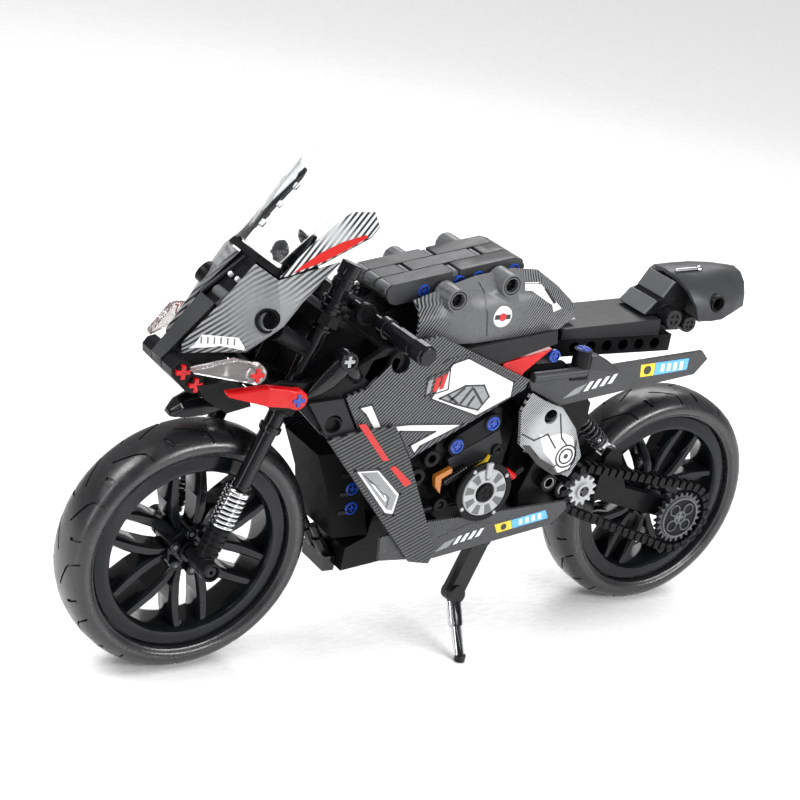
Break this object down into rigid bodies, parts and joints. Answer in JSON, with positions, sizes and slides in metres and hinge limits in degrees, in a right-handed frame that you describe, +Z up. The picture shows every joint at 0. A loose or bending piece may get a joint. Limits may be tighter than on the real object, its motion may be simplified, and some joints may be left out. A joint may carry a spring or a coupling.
{
  "type": "model motorcycle",
  "caption": "Brick-built sport motorcycle model with turning wheels, sprung fork, steering, swingarm, shock, chain drive and folding stand.",
  "frame": {"origin": "on the ground, midway between the two axles and on the middle plane", "axes": "+Z up, front wheel towards -Y, the rider's left side towards +X"},
  "size_m": [0.1084, 0.3072, 0.194],
  "materials": {
    "black_plastic": "glossy black plastic",
    "gloss_black": "high-gloss black plastic",
    "carbon_print": "grey plastic with a printed carbon weave",
    "dark_grey": "satin dark grey plastic",
    "silver_print": "printed silver plastic",
    "red_plastic": "glossy red plastic",
    "clear": "clear moulded plastic",
    "tyre": "matte rubber",
    "chrome": "polished spring steel",
    "grey_metal": "silver plastic"
  },
  "bodies": {
    "chassis": {"main_frame": "black_plastic", "front_block": "black_plastic", "front_guard": "gloss_black", "engine": "black_plastic", "clutch_disc": "grey_metal", "nose_bridge": "dark_grey", "windscreen": "clear", "chin_beak": "gloss_black", "tank_top": "dark_grey", "seat": "dark_grey", "tail_block": "dark_grey", "tail_cover": "dark_grey", "tail_lamp": "clear", "fairing_upper_left": "carbon_print", "fairing_upper_right": "carbon_print", "fairing_lower_left": "carbon_print", "fairing_lower_right": "carbon_print", "fairing_tile_left": "dark_grey", "fairing_tile_right": "dark_grey", "belly_panel_left": "carbon_print", "belly_panel_right": "carbon_print", "pivot_cover_left": "silver_print", "pivot_cover_right": "silver_print", "tail_panel_left": "carbon_print", "tail_panel_right": "carbon_print", "side_beam_left": "dark_grey", "side_beam_right": "dark_grey", "engine_tile_left": "dark_grey", "engine_tile_right": "dark_grey", "nose_cowl_left": "carbon_print", "nose_cowl_right": "carbon_print", "windscreen_plate_left": "carbon_print", "windscreen_plate_right": "carbon_print", "headlamp_left": "clear", "headlamp_right": "clear", "winglet_left": "red_plastic", "winglet_right": "red_plastic", "tank_side_left": "carbon_print", "tank_side_right": "carbon_print"},
    "steering": {"steering_yokes": "black_plastic", "handlebar": "gloss_black", "fork_tube_left": "gloss_black", "fork_tube_right": "gloss_black", "fork_spring_left": "chrome", "fork_spring_right": "chrome"},
    "fork_slider": {"fork_lower_left": "black_plastic", "fork_lower_right": "black_plastic", "front_axle": "black_plastic"},
    "front_wheel": {"front_rim": "gloss_black", "front_tyre": "tyre"},
    "rear_swingarm": {"swingarm": "black_plastic", "chain": "black_plastic"},
    "rear_wheel": {"rear_rim": "gloss_black", "rear_tyre": "tyre", "rear_sprocket": "black_plastic"},
    "front_gear": {"drive_sprocket": "grey_metal"},
    "shock_upper": {"shock_body": "black_plastic", "shock_spring": "grey_metal"},
    "shock_lower": {"shock_rod": "grey_metal"},
    "stand": {"kickstand": "gloss_black"}
  },
  "joints": [
    {"name": "steering_turn", "type": "hinge", "parent": "chassis", "child": "steering", "pos_m": [0, -0.06912, 0.11853], "axis": [0, 0.3502, 0.9367], "range_deg": [-20, 20]},
    {"name": "fork_slide", "type": "slide", "parent": "steering", "child": "fork_slider", "axis": [0, 0.3502, 0.9367], "range_m": [0, 0.004], "stiffness_N_per_m": 300, "springref_m": -0.012, "deforming": ["fork_spring_left", "fork_spring_right"]},
    {"name": "front_wheel_spin", "type": "hinge", "parent": "fork_slider", "child": "front_wheel", "pos_m": [0, -0.1065, 0.0471], "axis": [1, 0, 0], "continuous": true},
    {"name": "swingarm_pivot", "type": "hinge", "parent": "chassis", "child": "rear_swingarm", "pos_m": [0, 0.052, 0.0645], "axis": [1, 0, 0], "range_deg": [0, 8], "stiffness_Nm_per_rad": 0.6, "springref_deg": -17.19},
    {"name": "rear_wheel_spin", "type": "hinge", "parent": "rear_swingarm", "child": "rear_wheel", "pos_m": [0, 0.1065, 0.0471], "axis": [1, 0, 0], "continuous": true},
    {"name": "drive_sprocket_spin", "type": "hinge", "parent": "rear_swingarm", "child": "front_gear", "pos_m": [0.0235, 0.052, 0.0645], "axis": [1, 0, 0], "continuous": true},
    {"name": "shock_tilt", "type": "hinge", "parent": "chassis", "child": "shock_upper", "pos_m": [0.0154, 0.046, 0.096], "axis": [1, 0, 0], "range_deg": [0, 1.2]},
    {"name": "shock_slide", "type": "slide", "parent": "shock_upper", "child": "shock_lower", "axis": [0, -0.7399, 0.6727], "range_m": [0, 0.003], "deforming": ["shock_spring"]},
    {"name": "kickstand_fold", "type": "hinge", "parent": "chassis", "child": "stand", "pos_m": [0.0185, 0.012, 0.0456], "axis": [1, 0, 0], "range_deg": [0, 85]}
  ],
  "couplings": [
    {"joint": "drive_sprocket_spin", "follows": "rear_wheel_spin", "ratio": 2},
    {"joint": "shock_tilt", "follows": "swingarm_pivot", "ratio": 0.10169},
    {"joint": "shock_slide", "follows": "swingarm_pivot", "m_per_rad": 0.019476}
  ]
}
